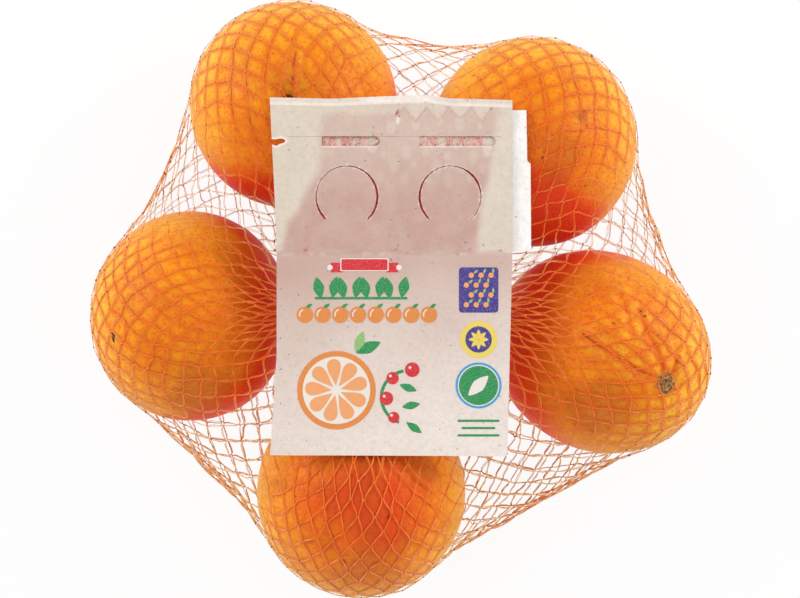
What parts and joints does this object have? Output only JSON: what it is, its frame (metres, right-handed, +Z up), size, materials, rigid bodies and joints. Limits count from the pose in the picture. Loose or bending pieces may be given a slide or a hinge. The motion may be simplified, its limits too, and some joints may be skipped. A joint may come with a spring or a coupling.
{
  "type": "net of oranges",
  "caption": "Knitted plastic net bag filled with whole oranges lying flat, its end pressed flat and glued inside a two-ply paper label with finger cut-outs.",
  "frame": {"origin": "on the supporting surface, below the middle of the bag", "axes": "+Z up, out of the label's printed side; +Y along the label towards its glued and punched top edge; +X to the right of the label as it is read"},
  "size_m": [0.2296, 0.2208, 0.0807],
  "materials": {
    "orange_peel": null,
    "stem_end": "dry woody button at the stem end of an orange",
    "net_yarn": "thin drawn polyethylene filaments, semi-clear orange",
    "label_front_paper": "uncoated, slightly fibrous off-white paper with specks",
    "label_back_paper": "uncoated white paper",
    "print_ink": "flat printed fields of red, green, orange, blue, yellow and violet"
  },
  "bodies": {
    "root": {"net_bag": "orange_peel", "label_back": "label_back_paper", "label_front": "label_front_paper"}
  },
  "joints": []
}
